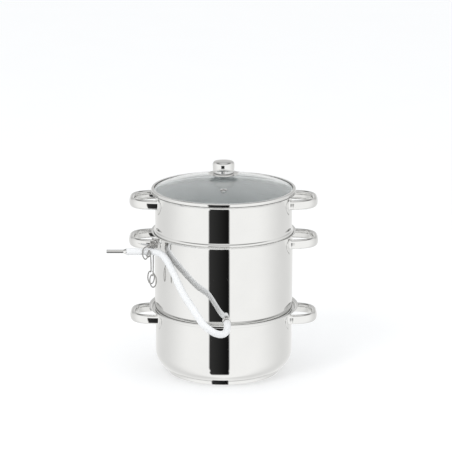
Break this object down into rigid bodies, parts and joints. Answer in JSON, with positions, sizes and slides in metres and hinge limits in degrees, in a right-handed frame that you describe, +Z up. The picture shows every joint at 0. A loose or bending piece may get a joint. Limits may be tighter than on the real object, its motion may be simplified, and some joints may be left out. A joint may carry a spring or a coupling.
{
  "type": "steam juicer",
  "caption": "Stacked steam juicer: water pan, juice pot with steam cone and clamped drain hose, perforated fruit basket and domed glass lid.",
  "frame": {"origin": "centre of the base's flat underside, on the surface that the juicer stands on", "axes": "+Z up; the drain spout faces -Y; the loop handles lie along X, with the hose led to the one at -X"},
  "size_m": [0.3915, 0.345, 0.4024],
  "materials": {
    "polished_steel": "mirror-polished stainless steel",
    "satin_steel": "satin stainless steel",
    "aluminium": "plain aluminium",
    "spring_steel": "bright drawn spring wire",
    "clear_glass": "clear tempered glass with a faint cool tint",
    "silicone": "milky translucent silicone"
  },
  "bodies": {
    "water_pan": {"water_pan_body": "polished_steel", "water_pan_base_core": "aluminium", "water_pan_base_cap": "polished_steel", "water_pan_handle_left": "polished_steel", "water_pan_handle_plate_left_front": "polished_steel", "water_pan_handle_plate_left_rear": "polished_steel", "water_pan_handle_right": "polished_steel", "water_pan_handle_plate_right_front": "polished_steel", "water_pan_handle_plate_right_rear": "polished_steel"},
    "juice_pot": {"juice_pot_body": "polished_steel", "steam_cone": "satin_steel", "juice_spout": "polished_steel", "spout_collar": "polished_steel", "juice_hose": "silicone", "hose_nozzle": "polished_steel", "clamp_rear_wire": "spring_steel", "juice_pot_handle_left": "polished_steel", "juice_pot_handle_plate_left_front": "polished_steel", "juice_pot_handle_plate_left_rear": "polished_steel", "juice_pot_handle_right": "polished_steel", "juice_pot_handle_plate_right_front": "polished_steel", "juice_pot_handle_plate_right_rear": "polished_steel"},
    "clamp_front": {"clamp_front_wire": "spring_steel"},
    "fruit_basket": {"fruit_basket_body": "polished_steel", "fruit_basket_handle_left": "polished_steel", "fruit_basket_handle_plate_left_front": "polished_steel", "fruit_basket_handle_plate_left_rear": "polished_steel", "fruit_basket_handle_right": "polished_steel", "fruit_basket_handle_plate_right_front": "polished_steel", "fruit_basket_handle_plate_right_rear": "polished_steel"},
    "lid": {"lid_band": "polished_steel", "lid_glass": "clear_glass", "lid_vent_eyelet": "polished_steel", "knob_gasket": "silicone", "knob_flange": "polished_steel", "knob_cap": "polished_steel", "knob_washer": "satin_steel", "knob_screw": "satin_steel"}
  },
  "joints": [
    {"name": "juice_pot_lift", "type": "slide", "parent": "water_pan", "child": "juice_pot", "axis": [0, 0, 1], "range_m": [0, 0.0855]},
    {"name": "basket_lift", "type": "slide", "parent": "juice_pot", "child": "fruit_basket", "axis": [0, 0, 1], "range_m": [0, 0.132]},
    {"name": "lid_lift", "type": "slide", "parent": "fruit_basket", "child": "lid", "axis": [0, 0, 1], "range_m": [0, 0.062]},
    {"name": "clamp_squeeze", "type": "hinge", "parent": "juice_pot", "child": "clamp_front", "pos_m": [-0.126, -0.07, 0.25945], "axis": [-1, 0, 0], "range_deg": [0, 15], "stiffness_Nm_per_rad": 0.5, "springref_deg": -8.59}
  ]
}
